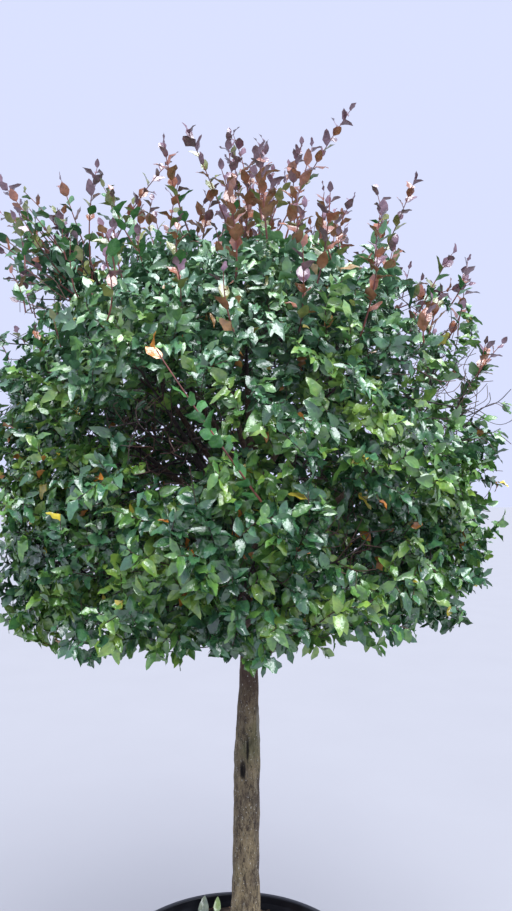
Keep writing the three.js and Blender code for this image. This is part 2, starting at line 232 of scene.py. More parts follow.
def arc(centre, radius, start, end, steps=4):
    """Points of a round stretch of a profile, from an angle to an angle in degrees."""
    angles = np.radians(np.linspace(start, end, steps + 1))
    return [(centre[0] + radius * math.cos(a), centre[1] + radius * math.sin(a)) for a in angles]


def turned(name, profile, sides):
    """A profile of (radius, height) points turned round the pot's axis. It starts and ends on it."""
    angles = np.linspace(0, 2 * np.pi, sides, endpoint=False)
    places = [(0, 0, profile[0][1])]
    for radius, height in profile[1:-1]:
        places += [(radius * math.cos(a), radius * math.sin(a), height) for a in angles]
    places.append((0, 0, profile[-1][1]))
    last = len(places) - 1
    faces = []
    for side in range(sides):
        after = (side + 1) % sides
        faces.append((0, 1 + after, 1 + side))
        for ring in range(len(profile) - 3):
            low, high = 1 + ring * sides, 1 + (ring + 1) * sides
            faces.append((low + side, low + after, high + after, high + side))
        faces.append((last - sides + side, last - sides + after, last))
    return mesh_object(name, places, faces)


def wall_radius(height):
    """The outer radius of the tapering wall at a height."""
    rise = (height - POT_FOOT_CHAMFER) / (POT_HEIGHT - LIP_DEPTH - POT_FOOT_CHAMFER)
    return POT_FOOT_RADIUS + (POT_RIM_RADIUS - LIP_WIDTH - POT_FOOT_RADIUS) * rise


class Build(Graph):
    """A Geometry Nodes tree. Its named inputs are sizes, seeds, blades and the material."""

    def __init__(self, name, **inputs):
        tree = bpy.data.node_groups.new(name, "GeometryNodeTree")
        super().__init__(tree)
        for label, kind in {"Geometry": "Geometry", **inputs, "Material": "Material"}.items():
            tree.interface.new_socket(label, in_out="INPUT", socket_type="NodeSocket" + kind)
        tree.interface.new_socket("Geometry", in_out="OUTPUT", socket_type="NodeSocketGeometry")
        self.entry = tree.nodes.new("NodeGroupInput")

    def given(self, label):
        return Wire(self, self.entry.outputs[label])

    def attribute(self, label, kind="FLOAT"):
        return self.node("GeometryNodeInputNamedAttribute", {"Name": label}, data_type=kind)

    def end(self, geometry, smooth=True):
        """Every tree ends in real, smooth faces of its one material."""
        real = self.node("GeometryNodeRealizeInstances", {"Geometry": geometry})
        soft = self.node("GeometryNodeSetShadeSmooth", {"Geometry": real, "Shade Smooth": smooth})
        sockets = {"Geometry": soft, "Material": self.given("Material")}
        painted = self.node("GeometryNodeSetMaterial", sockets)
        self.node("NodeGroupOutput", {"Geometry": painted})
        return self.tree


def worked(piece, tree, **values):
    """Runs a tree on a piece and keeps the result as its plain mesh."""
    modifier = piece.modifiers.new(tree.name, "NODES")
    modifier.node_group = tree
    for item in tree.interface.items_tree:
        if item.in_out == "INPUT" and item.name in values:
            modifier[item.identifier] = values[item.name]
    evaluated = piece.evaluated_get(bpy.context.evaluated_depsgraph_get())
    mesh = bpy.data.meshes.new_from_object(evaluated)
    piece.modifiers.remove(modifier)
    piece.data = mesh
    return piece


def fitted(piece, slot, *nodes):
    """Fixes a finished piece to the plant's one body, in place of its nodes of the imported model."""
    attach(piece, "root")
    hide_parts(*nodes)


wall_top = POT_RIM_RADIUS - LIP_WIDTH
lip_inner = wall_top - POT_WALL
lip_foot = POT_HEIGHT - LIP_DEPTH
pot = turned(
    "nursery_pot",
    [(0, 0), (POT_FOOT_RADIUS - POT_FOOT_CHAMFER, 0)]
    + [(wall_radius(height), height) for height in np.linspace(POT_FOOT_CHAMFER, lip_foot, OUTER_RINGS)]
    + [(POT_RIM_RADIUS - LIP_EDGE, lip_foot), (POT_RIM_RADIUS, lip_foot + LIP_EDGE)]
    + arc((POT_RIM_RADIUS - LIP_ROUND, POT_HEIGHT - LIP_ROUND), LIP_ROUND, 0, 90)
    + arc((lip_inner + LIP_ROUND, POT_HEIGHT - LIP_ROUND), LIP_ROUND, 90, 180)
    + [
        (wall_radius(height) - POT_WALL, height)
        for height in np.linspace(lip_foot, POT_FOOT_CHAMFER, INNER_RINGS)
    ]
    + [(POT_FOOT_RADIUS - POT_WALL - POT_FOOT_CHAMFER, POT_WALL), (0, POT_WALL)],
    POT_SIDES,
)

slots = Build("drain_slots", Count="Int", Radius="Float", Above="Float", Slot="Vector")
circle = {"Vertices": slots.given("Count"), "Radius": slots.given("Radius")}
ring = slots.node("GeometryNodeMeshCircle", circle)
lift = slots.node("ShaderNodeCombineXYZ", {"Z": slots.given("Above")})
ring = slots.node("GeometryNodeTransform", {"Geometry": ring, "Translation": lift})
block = slots.node("GeometryNodeMeshCube", {"Size": slots.given("Slot")})
outward = slots.node("GeometryNodeInputPosition")
flat = slots.node("ShaderNodeVectorMath", {0: outward, 1: (1, 1, 0)}, operation="MULTIPLY")
facing = slots.node("FunctionNodeAlignRotationToVector", {"Vector": flat}, axis="X")
blocks = {"Points": ring, "Instance": block, "Rotation": facing}
cutters = slots.node("GeometryNodeInstanceOnPoints", blocks)
cutters = slots.node("GeometryNodeRealizeInstances", {"Geometry": cutters})
cut = slots.node(
    "GeometryNodeMeshBoolean",
    {"Mesh 1": slots.given("Geometry"), "Mesh 2": cutters},
    operation="DIFFERENCE",
    solver="EXACT",
)
plastic = Finish("black_pot_plastic")
dust = plastic.step(plastic.noise(9, 5), 0.45, 0.75)
worked(
    pot,
    slots.end(cut, smooth=False),
    Count=DRAIN_SLOTS,
    Radius=POT_FOOT_RADIUS,
    Above=DRAIN_SLOT_ABOVE + DRAIN_SLOT[1] / 2,
    Slot=(4 * POT_WALL + POT_FOOT_CHAMFER, *DRAIN_SLOT),
    Material=plastic.surface(
        Base_Color=plastic.blend(dust * 0.35, shade("17191e"), shade("3d4046")),
        Roughness=0.38 + 0.25 * dust,
        Normal=plastic.bump(plastic.noise(160, 2), 0.0003),
    ),
)
fitted(pot, "pot_plastic", "pot")


# The compost: composted bark, firmed round the trunk, a little lower at the wall and heaped
# against the far side of it. Chips of bark and a few pale stones lie on it.
HEADSPACE = 0.050
SOIL_FALL = 0.008
SOIL_FLAT_RADIUS = 0.115
SOIL_TOP = POT_HEIGHT - HEADSPACE
SOIL_RINGS = 48
SOIL_GAP = 0.0006
SOIL_ROUGH = {"height": 0.0022, "fade": 0.05}
HEAP = {"at": (-0.04, 0.33), "spread": (0.20, 0.075), "rise": 0.030}
soil_edge = SOIL_TOP - SOIL_FALL


def soil_level(x, y):
    """The height of the compost's surface, with its fall to the wall and its heap."""
    beyond = np.hypot(x, y) - SOIL_FLAT_RADIUS
    fall = np.clip(beyond / (POT_FOOT_RADIUS - SOIL_FLAT_RADIUS), 0, 1)
    heap = [((value - at) / spread) ** 2 for value, at, spread in zip((x, y), HEAP["at"], HEAP["spread"])]
    waves = np.sin(47 * x + 1) * np.sin(53 * y) + 0.6 * np.sin(111 * x) * np.sin(97 * y + 2)
    rough = SOIL_ROUGH["height"] * waves * np.clip(beyond / SOIL_ROUGH["fade"], 0, 1)
    return SOIL_TOP - SOIL_FALL * fall + HEAP["rise"] * np.exp(-heap[0] - heap[1]) + rough


wall = wall_radius(soil_edge) - POT_WALL - SOIL_GAP
angles = np.linspace(0, 2 * np.pi, POT_SIDES, endpoint=False)
surface = [(0, 0, SOIL_TOP)]
for share in np.arange(1, SOIL_RINGS + 1) / SOIL_RINGS:
    surface += [(share * wall * math.cos(a), share * wall * math.sin(a), 0) for a in angles]
surface = np.array(surface)
surface[:, 2] = soil_level(surface[:, 0], surface[:, 1])
surface_faces = []
for side in range(POT_SIDES):
    after = (side + 1) % POT_SIDES
    surface_faces.append((0, 1 + side, 1 + after))
    for ring_number in range(SOIL_RINGS - 1):
        low, high = 1 + ring_number * POT_SIDES, 1 + (ring_number + 1) * POT_SIDES
        surface_faces.append((low + side, high + side, high + after, low + after))
compost = mesh_object("bark_compost", surface, surface_faces)
humus = Finish("bark_compost")
compost.data.materials.append(
    humus.surface(
        Base_Color=humus.ramp(humus.noise(60, 6), (0.35, "1f1812"), (0.5, "372a1f"), (0.68, "5b4835")),
        Roughness=0.95,
        Normal=humus.bump(humus.noise(95, 6), 0.005),
    )
)
fitted(compost, "compost", "soil")


def plate(name, length, width, thickness):
    """A flat chip with uneven, chamfered edges."""
    outline = [(0.5, 0.1), (0.32, 0.46), (-0.2, 0.5), (-0.5, 0.16), (-0.42, -0.4), (0.18, -0.5)]
    rims = [(x * length, y * width, 0) for x, y in outline]
    tops = [(x * length * 0.8, y * width * 0.72, thickness * (0.6 + 0.4 * x)) for x, y in outline]
    count = len(outline)
    faces = [tuple(range(count, 2 * count)), tuple(reversed(range(count)))]
    faces += [(i, (i + 1) % count, (i + 1) % count + count, i + count) for i in range(count)]
    return mesh_object(name, rims + tops, faces)


def gathered(name, *shapes):
    """A collection of shapes for a tree to set out, kept out of the scene itself."""
    group = bpy.data.collections.new(name)
    for made in shapes:
        bpy.context.scene.collection.objects.unlink(made)
        group.objects.link(made)
    return group


scatter = Build("scattered_pieces", Pieces="Collection", Density="Float", Smallest="Float", Seed="Int")
seed = scatter.given("Seed")
spread = {"Mesh": scatter.given("Geometry"), "Density": scatter.given("Density"), "Seed": seed}
spots = scatter.node("GeometryNodeDistributePointsOnFaces", spread)
kinds = {"Collection": scatter.given("Pieces"), "Separate Children": True, "Reset Children": True}
shapes = scatter.node("GeometryNodeCollectionInfo", kinds)
turning = {"Min": (-0.4, -0.4, 0), "Max": (0.4, 0.4, 2 * math.pi), "Seed": seed}
turn = scatter.node("FunctionNodeRandomValue", turning, data_type="FLOAT_VECTOR")
sizing = {2: scatter.given("Smallest"), 3: 1.0, "Seed": seed}
scale = scatter.node("FunctionNodeRandomValue", sizing, out=1, data_type="FLOAT")
setting = {"Points": spots, "Instance": shapes, "Pick Instance": True, "Rotation": turn, "Scale": scale}
SCATTER = scatter.end(scatter.node("GeometryNodeInstanceOnPoints", setting), smooth=False)

chip_wood = Finish("bark_chips")
chips = worked(
    mesh_object("bark_chips", surface, surface_faces),
    SCATTER,
    Pieces=gathered(
        "chips", plate("broad_chip", 0.026, 0.017, 0.004), plate("slim_chip", 0.032, 0.009, 0.003)
    ),
    Density=2600.0,
    Smallest=0.3,
    Seed=3,
    Material=chip_wood.surface(
        Base_Color=chip_wood.ramp(chip_wood.noise(38), (0.35, "2b2019"), (0.5, "5a4433"), (0.65, "8c745a")),
        Roughness=0.9,
        Normal=chip_wood.bump(chip_wood.noise(300), 0.001),
    ),
)
fitted(chips, "compost", "soil")
stone = Finish("pale_stones")
stones = worked(
    mesh_object("pale_stones", surface, surface_faces),
    SCATTER,
    Pieces=gathered("stones", plate("stone", 0.010, 0.008, 0.006), plate("grit", 0.006, 0.005, 0.004)),
    Density=130.0,
    Smallest=0.5,
    Seed=8,
    Material=stone.surface(
        Base_Color=stone.blend(stone.noise(90), shade("8f8a7c"), shade("cfcabb")), Roughness=0.8
    ),
)
fitted(stones, "compost", "soil")


# The trunk: one clear stem of a standard camellia, round, with grey-brown bark in fine upright
# flakes, pale lichen, a root flare, a slight lean and a pruning wound that healed over a slit.
TREE_FOOT = np.array([0.030, 0, 0.4003])
TRUNK_HEIGHT = 1.120
TRUNK_LEAN = 0.014
# Heights up the trunk, and its radius at each.
GIRTH_HEIGHTS = (0, 0.120, 0.220, 0.334, 0.560, 0.640, 0.694, 0.807, 0.889, TRUNK_HEIGHT)
GIRTH_RADII = (0.0500, 0.0450, 0.0418, 0.0381, 0.0365, 0.0385, 0.0353, 0.0295, 0.0263, 0.0220)
FLARE = {"rise": 0.016, "fade": 0.042, "toes": 5, "share": 0.35}
# Marks on the bark: each one's height up the trunk, its turn from the right-hand side and its
# width in degrees, how tall it is, and how far it stands out.
MARKS = {
    "lip": (0.602, -108, 22, 0.034, 0.0036),
    "slit": (0.622, -108, 8, 0.026, -0.0120),
    "crack": (0.680, -88, 4, 0.036, -0.0060),
    "knot": (0.545, -38, 13, 0.011, 0.0050),
    "knot_hollow": (0.547, -38, 5, 0.005, -0.0040),
    "ridge": (0.735, -28, 9, 0.060, 0.0036),
    "furrow": (0.700, -62, 5, 0.055, -0.0030),
    "low_lump": (0.400, -150, 16, 0.024, 0.0030),
}


def trunk_radius(height, angle):
    stem = np.interp(height, GIRTH_HEIGHTS, GIRTH_RADII)
    toes = 1 - FLARE["share"] + FLARE["share"] * np.cos(FLARE["toes"] * angle)
    return stem + FLARE["rise"] * np.exp(-height / FLARE["fade"]) * toes


def marks_rise(height, angle):
    """How far all the marks together raise the bark at a height and an angle."""
    rise = 0 * height + 0 * angle
    for middle, turn, wide, tall, most in MARKS.values():
        aside = (np.degrees(angle) - turn + 180) % 360 - 180
        rise += most * np.exp(-((aside / wide) ** 2) - ((height - middle) / tall) ** 2)
    return rise


def bezier(points, shares):
    """Places along a curve with any number of control points, one for each share of it."""
    shares = np.asarray(shares, float)[:, None]
    layers = [np.broadcast_to(point, (len(shares), 3)) for point in np.asarray(points, float)]
    while len(layers) > 1:
        layers = [low + (high - low) * shares for low, high in zip(layers, layers[1:])]
    return layers[0]


TRUNK_CURVE = [(0, 0, 0), (0, 0, TRUNK_HEIGHT / 2), (TRUNK_LEAN, 0, TRUNK_HEIGHT)]
TRUNK_RINGS = 360
TRUNK_SIDES = 120
shares = np.linspace(0, 1, TRUNK_RINGS + 1)
angles = np.linspace(0, 2 * np.pi, TRUNK_SIDES, endpoint=False)
middle = bezier(TRUNK_CURVE, shares)
levels = shares[:, None] * TRUNK_HEIGHT
radius = trunk_radius(levels, angles[None]) + marks_rise(levels, angles[None])
rings = middle[:, None] + radius[..., None] * np.stack([np.cos(angles), np.sin(angles), 0 * angles], 1)
faces = []
for ring_number in range(TRUNK_RINGS):
    for side in range(TRUNK_SIDES):
        low, high = ring_number * TRUNK_SIDES, (ring_number + 1) * TRUNK_SIDES
        after = (side + 1) % TRUNK_SIDES
        faces.append((low + side, low + after, high + after, high + side))
faces.append(tuple(reversed(range(TRUNK_SIDES))))
faces.append(tuple(range(TRUNK_RINGS * TRUNK_SIDES, (TRUNK_RINGS + 1) * TRUNK_SIDES)))
trunk = mesh_object("trunk_bark", rings.reshape(-1, 3) + TREE_FOOT, faces)


bark = Finish("camellia_bark")


def round_mark(name, size):
    """1 on a mark of the bark, and 0 beyond a size away from its middle."""
    height, turn = MARKS[name][0], math.radians(MARKS[name][1])
    outward = trunk_radius(height, turn) * np.array([math.cos(turn), math.sin(turn), 0])
    return bark.near(tuple(TREE_FOOT + bezier(TRUNK_CURVE, [height / TRUNK_HEIGHT])[0] + outward), size)


blotch = bark.noise(24, 4, (1, 1, 0.4))
flakes = bark.noise(110, 6, (1, 1, 0.32), 0.65)
fine = bark.noise(330, 5, (1, 1, 0.5), 0.6)
specks = bark.step(bark.noise(210, 3, (1, 1, 0.8)), 0.66, 0.70)
lichen = bark.step(bark.noise(58, 6, (1, 1, 0.6), 0.7), 0.62, 0.68)
off_middle = bark.noise(46, 5, (1, 1, 0.22), 0.6) - 0.5
seams = bark.node("ShaderNodeMath", {0: off_middle}, operation="ABSOLUTE")
ground = bark.ramp(blotch, (0.32, "594e3f"), (0.5, "837457"), (0.68, "9d8c69"))
# Each later layer lies over those before it: where and how thickly it does, and its colour.
LAYERS = [
    (bark.step(flakes, 0.52, 0.64) * 0.6, "958b74"),
    ((1 - bark.step(flakes, 0.36, 0.46)) * 0.85, "3a2f27"),
    ((1 - bark.step(fine, 0.38, 0.46)) * 0.6, "3c3129"),
    ((1 - bark.step(seams, 0.004, 0.022)) * 0.75, "2e241d"),
    (bark.step(bark.noise(8, 2), 0.5, 0.7) * 0.4, "62663f"),
    # Painted shade: the bark is darker from the top of the trunk upwards, on the limbs too, where the head
    # shades it.
    (bark.step(bark.height(), 1.12, 1.28) * 0.8, "46322a"),
    (lichen * 0.5, "a9a898"),
    (specks * 0.8, "cfcdc0"),
    (round_mark("ridge", (0.010, 0.010, 0.070)) * 0.6, "9b978a"),
    # Painted shade: the slit and the crack are painted near-black, for the shade in their recesses.
    (round_mark("slit", (0.011, 0.014, 0.032)), "1d1713"),
    (round_mark("crack", (0.005, 0.012, 0.045)) * 0.9, "1d1713"),
]
for share, colour in LAYERS:
    ground = bark.blend(share, ground, shade(colour))
BARK = bark.surface(Base_Color=ground, Roughness=0.82, Normal=bark.bump(flakes + fine * 0.6, 0.0035))

relief = Build("bark_relief", Depth="Float", Grain="Float")
place = relief.node("GeometryNodeInputPosition")
drawn = relief.node("ShaderNodeVectorMath", {0: place, 1: (1, 1, 0.16)}, operation="MULTIPLY")
grain_scale = {"Vector": drawn, "Scale": relief.given("Grain"), "Detail": 4.0}
grain = relief.node("ShaderNodeTexNoise", grain_scale)
lumps = relief.node("ShaderNodeTexNoise", {"Vector": place, "Scale": 14.0, "Detail": 2.0})
height = (grain + lumps * 1.6 - 1.3) * relief.given("Depth")
way_out = relief.node("GeometryNodeInputNormal")
push = relief.node("ShaderNodeVectorMath", {0: way_out, "Scale": height}, operation="SCALE")
shaped = relief.node("GeometryNodeSetPosition", {"Geometry": relief.given("Geometry"), "Offset": push})
RELIEF = relief.end(shaped)
worked(trunk, RELIEF, Depth=0.0062, Grain=80.0, Material=BARK)
fitted(trunk, "bark", "trunk")


# The limbs: a leader goes on above the trunk's fork, and boughs climb from both in three rings,
# each to a mass of foliage of its own. Each is one tapering length of the same bark.
LEADER_TIP = (0.004, 0.012, 1.740)
LEADER_GIRTH = (0.020, 0.009)
LEADER_CURVE = [
    (TRUNK_LEAN, 0, TRUNK_HEIGHT),
    (TRUNK_LEAN * 1.6, 0, (TRUNK_HEIGHT + LEADER_TIP[2]) / 2),
    LEADER_TIP,
]
HEAD_MIDDLE = np.array([0.018, 0, 1.570])
HEAD_RADIUS = 0.750
HEAD_DOME = {"height": 0.620, "fullness": 2}
HEAD_SKIRT = {"height": 0.575, "fullness": 6}
HEAD_INSIDE = 0.44
TIERS = {
    "lower": {"ring": (6, 0.485, 1.245, 30), "bough": (0.900, 0.030, 32, (0.015, 0.009))},
    "middle": {"ring": (6, 0.520, 1.640, 0), "bough": (1.150, 0.028, 52, (0.013, 0.008))},
    "upper": {"ring": (4, 0.320, 1.885, 28), "bough": (1.390, 0.034, 58, (0.010, 0.007))},
}
CREST_HEART = np.array([0.018, 0, 2.010])
SPRAY_HEART = np.array([-0.450, -0.060, 2.000])
SPRAY_BOUGH = (1.340, 50, (0.009, 0.006))
SPRAY_SWELL = 1.2
BOUGH_SHARE = 0.55
BOUGH_LEAVING = 0.35
BOUGH_ARRIVING = 0.3
HEART_SHIFT = (8, 0.030, 0.035)
BULGE_LEAST, BULGE_SPREAD = 0.95, 0.1
UP = np.array([0, 0, 1.0])


def seeded(seed):
    """Seeded random numbers from 0 to 1, the same draws as in the solids."""
    state = [seed]

    def draw():
        state[0] = (state[0] * 1664525 + 1013904223) % 2**32
        return state[0] / 2**32

    return draw


def unit(vector):
    vector = np.asarray(vector, float)
    return vector / np.maximum(np.linalg.norm(vector, axis=-1, keepdims=True), 1e-9)


def axis_point(height):
    """A point on the axis of the trunk, or of the leader above it."""
    if height <= TRUNK_HEIGHT:
        return bezier(TRUNK_CURVE, [height / TRUNK_HEIGHT])[0]
    return bezier(LEADER_CURVE, [(height - TRUNK_HEIGHT) / (LEADER_TIP[2] - TRUNK_HEIGHT)])[0]


def bough_curve(foot_height, climb, heart):
    foot = axis_point(foot_height)
    tip = foot + (heart - foot) * BOUGH_SHARE
    span = np.linalg.norm(tip - foot)
    outward = unit((heart - foot) * (1, 1, 0))
    rise = math.radians(climb)
    leaving = outward * math.cos(rise) + UP * math.sin(rise)
    arriving = unit(heart - tip)
    return [foot, foot + leaving * span * BOUGH_LEAVING, tip - arriving * span * BOUGH_ARRIVING, tip]


def along_limb(mass, count):
    """Places along a mass's limb, and its radius at each."""
    shares = np.arange(count) / (count - 1)
    thick, thin = mass["girth"]
    return bezier(mass["curve"], shares), thick + (thin - thick) * shares


masses = []
draw = seeded(11)
for tier, form in TIERS.items():
    count, ring_radius, ring_height, turn = form["ring"]
    foot, foot_step, climb, girth = form["bough"]
    for i in range(count):
        shifts = [draw() * 2 - 1 for _ in range(3)]
        angle = math.radians(i * 360 / count + turn + shifts[0] * HEART_SHIFT[0])
        distance = ring_radius + shifts[1] * HEART_SHIFT[1]
        heart = HEAD_MIDDLE * (1, 1, 0) + (
            distance * math.cos(angle),
            distance * math.sin(angle),
            ring_height + shifts[2] * HEART_SHIFT[2],
        )
        level = (i % 2) * math.ceil(count / 2) + i // 2
        curve = bough_curve(foot + level * foot_step, climb, heart)
        masses.append({"name": f"{tier}_{i + 1}", "heart": heart, "curve": curve, "girth": girth})
spray_foot, spray_climb, spray_girth = SPRAY_BOUGH
spray_curve = bough_curve(spray_foot, spray_climb, SPRAY_HEART)
masses.append({"name": "left_spray", "heart": SPRAY_HEART, "curve": spray_curve, "girth": spray_girth})
masses.append({"name": "crest", "heart": CREST_HEART, "curve": LEADER_CURVE, "girth": LEADER_GIRTH})
for mass in masses:
    swell = SPRAY_SWELL if mass["name"] == "left_spray" else 1
    mass["bulge"] = swell * (BULGE_LEAST + BULGE_SPREAD * draw())
MASS_NODES = [f"foliage_{mass['name']}" for mass in masses]


def keep_values(piece, label, kind, values):
    """Keeps a value for each point of a piece, for its tree to read."""
    attribute = piece.data.attributes.new(label, kind, "POINT")
    flat = np.asarray(values, np.int32 if kind == "INT" else np.float32).ravel()
    attribute.data.foreach_set("vector" if kind == "FLOAT_VECTOR" else "value", flat)


def wood(name, lines, material, sides):
    """Tubes of wood along lines of points, each line with a radius at every point."""
    places, edges, girths = [], [], []
    for line, girth in lines:
        start = len(girths)
        places.extend(np.asarray(line) + TREE_FOOT)
        girths.extend(girth)
        edges.extend((i, i + 1) for i in range(start, start + len(line) - 1))
    piece = mesh_object(name, places, [], edges)
    keep_values(piece, "girth", "FLOAT", girths)
    return worked(piece, TUBES, Sides=sides, Material=material)


tubes = Build("tubes_along_wood", Sides="Int")
curves = tubes.node("GeometryNodeMeshToCurve", {"Mesh": tubes.given("Geometry")})
circle = {"Resolution": tubes.given("Sides"), "Radius": 1.0}
section = tubes.node("GeometryNodeCurvePrimitiveCircle", circle)
girth = tubes.attribute("girth")
swept = {"Curve": curves, "Profile Curve": section, "Scale": girth, "Fill Caps": True}
TUBES = tubes.end(tubes.node("GeometryNodeCurveToMesh", swept))

limbs = wood("limbs_bark", [along_limb(mass, 40) for mass in masses], BARK, sides=20)
worked(limbs, RELIEF, Depth=0.0016, Grain=90.0, Material=BARK)
fitted(limbs, "bark", "leader", *[f"bough_{mass['name']}" for mass in masses if mass["name"] != "crest"])


# The twigs: each mass grows on from its limb's tip as one stem, with twigs fanned out of its
# last part, and finer ones that branch from those until they fill the mass's own space.
STEM_BEYOND = 0.45
TWIG = {"count": 13, "room": 0.106, "rise": 0.12, "back": -0.3, "from": 0.55, "spread": 0.4}
TWIG_FOOT = 0.006
# The shares of a twig's length at which the solids test that it has room.
TWIG_TESTS = (0.5, 0.65, 0.8, 0.9, 1)
TWIG_SEED, TIP_SEED = 100, 500
STEM_STEPS = 10
SOLID_LEAF = {"length": 0.124, "pitch": 0.057, "start": 0.55}
LEAF_MARGIN = 0.004
REACH_STEP, REACH_STEPS = 0.008, 190
GOLDEN_TURN = math.pi * (3 - math.sqrt(5))
HEARTS = np.array([mass["heart"] for mass in masses])

TRUNK_BALLS, LIMB_BALLS = 61, 25
shares = np.arange(TRUNK_BALLS) / (TRUNK_BALLS - 1)
limb_balls = [np.column_stack([bezier(TRUNK_CURVE, shares), trunk_radius(shares * TRUNK_HEIGHT, 0)])]
limb_balls += [np.column_stack(along_limb(mass, LIMB_BALLS)) for mass in masses]
# The two hollows in the head's front are a middle and a radius each, as in the solids. Twigs
# reach bare into them, up to half the radius from the middle, and no leaf grows in the leafless
# places in and behind them. The larger one shows a little further left here than in the solids.
HOLLOWS = np.array([[-0.105, -0.665, 1.530, 0.130], [0.270, -0.650, 1.290, 0.095]])
BARE_RIM = 0.5
BARE_SPACING = 0.030
LEAFLESS = np.array(
    [
        [-0.168, -0.660, 1.520, 0.132],
        [-0.145, -0.540, 1.530, 0.112],
        [0.270, -0.650, 1.290, 0.095],
        [0.240, -0.560, 1.300, 0.070],
    ]
)
KEPT_CLEAR = np.vstack([*limb_balls, HOLLOWS])
CLEAR_OF_WOOD = np.vstack([*limb_balls, HOLLOWS * (1, 1, 1, BARE_RIM)])
CLEAR_OF_LEAVES = np.vstack([*limb_balls, LEAFLESS])


def head_share(points):
    """How far out in the head points lie: 0 at the middle, 1 at the outline."""
    offset = points - HEAD_MIDDLE
    domed = offset[:, 2] > 0
    height = np.where(domed, HEAD_DOME["height"], HEAD_SKIRT["height"])
    fullness = np.where(domed, HEAD_DOME["fullness"], HEAD_SKIRT["fullness"])
    outwards = np.hypot(offset[:, 0], offset[:, 1]) / HEAD_RADIUS
    return (outwards**fullness + (np.abs(offset[:, 2]) / height) ** fullness) ** (1 / fullness)


def in_own_cell(points, number, margin):
    """Whether points are nearer to this mass's heart than to any other's, by a margin."""
    home = HEARTS[number]
    others = np.delete(HEARTS, number, axis=0)
    apart = np.linalg.norm(others - home, axis=1)
    lead = ((points[:, None] - others) ** 2).sum(2) - ((points - home) ** 2).sum(1)[:, None]
    return (lead / (2 * apart) > margin).all(1)


def free(points, number, margin, limit=None, clear=KEPT_CLEAR):
    """Whether a mass may grow at points: in the head's shell, its own cell and clear of limbs."""
    share = head_share(points)
    ok = (share > HEAD_INSIDE) & (share < (limit or masses[number]["bulge"]))
    ok &= in_own_cell(points, number, margin)
    gap = np.linalg.norm(points[:, None] - clear[:, :3], axis=2) - clear[:, 3]
    return ok & (gap > margin).all(1)


def reach(number, direction, margin):
    """How far a straight line can run from a mass's heart before it leaves the mass's space."""
    runs = np.arange(1, REACH_STEPS) * REACH_STEP
    ok = free(HEARTS[number] + runs[:, None] * direction, number, margin)
    return (np.argmin(ok) if not ok.all() else len(runs)) * REACH_STEP


class Wood:
    """The wood of one mass: its joints, each with a place, a heading, a parent and a way back."""

    def __init__(self, foot, heading, room=4000):
        self.place, self.heading = np.zeros((2, room, 3))
        self.way, self.children = np.zeros((2, room))
        self.parent = np.full(room, -1)
        self.place[0], self.heading[0] = foot, heading
        self.count = 1

    def add_line(self, points, parent):
        for point in points:
            edge = point - self.place[parent]
            self.place[self.count], self.heading[self.count] = point, unit(edge)
            self.way[self.count] = self.way[parent] + np.linalg.norm(edge)
            self.parent[self.count] = parent
            self.children[parent] += 1
            parent = self.count
            self.count += 1


# How a finer twig grows: the length of one step, what turning, a long way back to the limb and
# crowding cost when a joint is chosen, and how the twig bends as it leaves its joint and arrives.
FINE = {"step": 0.05, "turning": 0.55, "back_way": 0.38, "crowding": 0.012}
KEEPS_HEADING, LEAVING, ARRIVING, LIFT = 0.6, 0.35, 0.3, 0.25


def grow_to(growth, target):
    """Reaches a target from the joint that can do so with the least wood and the least turning."""
    n = growth.count
    apart = target - growth.place[:n]
    distance = np.maximum(np.linalg.norm(apart, axis=1), 1e-6)
    turning = 1 - (apart / distance[:, None] * growth.heading[:n]).sum(1)
    cost = distance * (1 + FINE["turning"] * turning)
    cost += FINE["back_way"] * growth.way[:n] + FINE["crowding"] * growth.children[:n]
    start = int(np.argmin(cost))
    span = distance[start]
    straight = apart[start] / span
    leaving = unit(growth.heading[start] * KEEPS_HEADING + straight) * span * LEAVING
    arriving = unit(straight + LIFT * UP) * span * ARRIVING
    path = [growth.place[start], growth.place[start] + leaving, target - arriving, target]
    steps = max(1, round(span / FINE["step"]))
    growth.add_line(bezier(path, np.arange(1, steps + 1) / steps), start)


TIP_SPACING = 0.0435
TIP_THROWS = 60000
TIP_BOX_HALF = 0.55
TIP_MARGIN = 0.008
INSIDE_BULGE = 0.975
CLUMP_DEPTH = 0.13
BARE_SHARE = 0.95
SPRAY_OPENNESS = 1.35
# How much wider the spacing is at the head's middle, and how much of that is gone at its outline.
TIP_WIDENING, TIP_CLOSING = 1.5, 0.55


def clumps(points):
    """How the head's outline swells and draws in, from 1 to 0, in clumps about a hand across."""
    waves = np.sin(points * (19, 17, 21) + (1, 2.2, 0.4) + 1.3 * np.sin(points[:, [1, 2, 0]] * 11))
    return 0.5 + 0.5 * waves.prod(1) * 1.6


def thrown_tips(number, random):
    """Evenly thrown ends for the finest twigs, through a mass's own space, closest on the outside."""
    bulge = masses[number]["bulge"]
    tips = HEARTS[number] + random.uniform(-TIP_BOX_HALF, TIP_BOX_HALF, (TIP_THROWS, 3))
    tips = tips[free(tips, number, TIP_MARGIN, bulge * INSIDE_BULGE, CLEAR_OF_WOOD)]
    tips = tips[head_share(tips) < bulge * (INSIDE_BULGE - CLUMP_DEPTH * (1 - clumps(tips)))]
    spacing = TIP_SPACING * (SPRAY_OPENNESS if masses[number]["name"] == "left_spray" else 1)
    gap = np.linalg.norm(tips[:, None] - LEAFLESS[:, :3], axis=2) / LEAFLESS[:, 3]
    kept = np.zeros((0, 3))
    for tip, share, bare in zip(tips, head_share(tips), gap.min(1) < BARE_SHARE):
        own = BARE_SPACING if bare else spacing * (TIP_WIDENING - TIP_CLOSING * min(share, 1))
        if len(kept) == 0 or ((kept - tip) ** 2).sum(1).min() > own**2:
            kept = np.vstack([kept, tip])
    return kept[np.argsort(np.linalg.norm(kept - masses[number]["curve"][-1], axis=1))]


